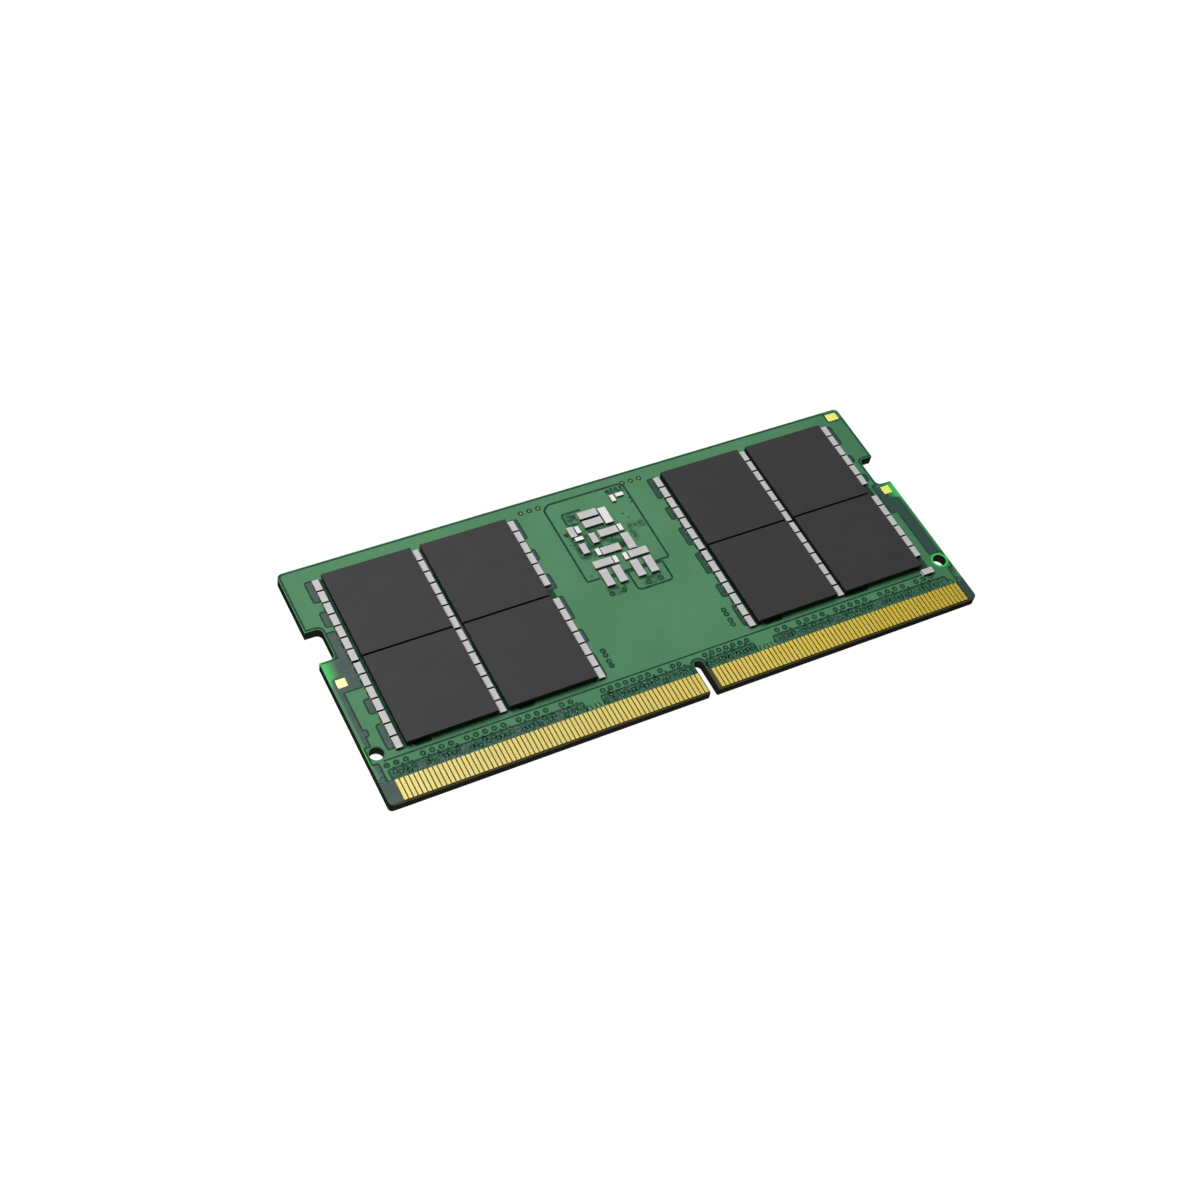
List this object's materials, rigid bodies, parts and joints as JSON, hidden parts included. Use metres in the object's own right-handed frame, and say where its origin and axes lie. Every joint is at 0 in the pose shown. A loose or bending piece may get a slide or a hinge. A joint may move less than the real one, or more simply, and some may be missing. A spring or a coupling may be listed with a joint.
{
  "type": "laptop memory module",
  "caption": "Small-outline laptop memory module: a flat rectangular circuit board with edge contacts, a key slot, side latch notches and square memory packages on both faces.",
  "frame": {"origin": "under the middle of the circuit board, on the surface that the underside memory packages rest on", "axes": "+X along the board's length, +Y from the contact edge to the opposite edge, +Z out of the front face"},
  "size_m": [0.0696, 0.03, 0.0028],
  "materials": {
    "green_solder_mask": "satin green solder mask over glass-fibre laminate",
    "gold_plate": "hard gold plating over copper",
    "black_resin": "matt moulded epoxy resin",
    "grey_ceramic": "satin light grey ceramic with tinned ends",
    "white_cermet": "satin white ceramic with tinned ends",
    "dark_ferrite": "matt pressed ferrite"
  },
  "bodies": {
    "root": {"bias_resistor_1": "white_cermet", "bias_resistor_2": "white_cermet", "bias_resistor_3": "white_cermet", "bias_resistor_4": "white_cermet", "bias_resistor_5": "white_cermet", "bias_resistor_6": "white_cermet", "bias_resistor_7": "white_cermet", "bias_resistor_8": "white_cermet", "bulk_capacitor_1": "grey_ceramic", "bulk_capacitor_2": "grey_ceramic", "bulk_capacitor_3": "grey_ceramic", "bulk_capacitor_4": "grey_ceramic", "capacitors_back_left_middle": "grey_ceramic", "capacitors_back_left_outer": "grey_ceramic", "capacitors_back_right_middle": "grey_ceramic", "capacitors_back_right_outer": "grey_ceramic", "capacitors_front_left_inner": "grey_ceramic", "capacitors_front_left_middle": "grey_ceramic", "capacitors_front_left_outer": "grey_ceramic", "capacitors_front_right_inner": "grey_ceramic", "capacitors_front_right_middle": "grey_ceramic", "capacitors_front_right_outer": "grey_ceramic", "circuit_board": "green_solder_mask", "contacts_back_long": "gold_plate", "contacts_back_short": "gold_plate", "contacts_front_long": "gold_plate", "contacts_front_short": "gold_plate", "corner_capacitor": "grey_ceramic", "filter_capacitor_1": "grey_ceramic", "filter_capacitor_2": "grey_ceramic", "filter_capacitor_3": "grey_ceramic", "hub_chip": "black_resin", "inductor_1": "dark_ferrite", "inductor_2": "dark_ferrite", "inductor_3": "dark_ferrite", "input_capacitor_1": "grey_ceramic", "input_capacitor_2": "grey_ceramic", "memory_package_back_1": "black_resin", "memory_package_back_2": "black_resin", "memory_package_back_3": "black_resin", "memory_package_back_4": "black_resin", "memory_package_back_5": "black_resin", "memory_package_back_6": "black_resin", "memory_package_back_7": "black_resin", "memory_package_back_8": "black_resin", "memory_package_front_1": "black_resin", "memory_package_front_2": "black_resin", "memory_package_front_3": "black_resin", "memory_package_front_4": "black_resin", "memory_package_front_5": "black_resin", "memory_package_front_6": "black_resin", "memory_package_front_7": "black_resin", "memory_package_front_8": "black_resin", "output_capacitor_1": "grey_ceramic", "output_capacitor_2": "grey_ceramic", "output_capacitor_3": "grey_ceramic", "output_capacitor_4": "grey_ceramic", "output_capacitor_5": "grey_ceramic", "power_controller": "black_resin", "shunt_resistor": "white_cermet"}
  },
  "joints": []
}
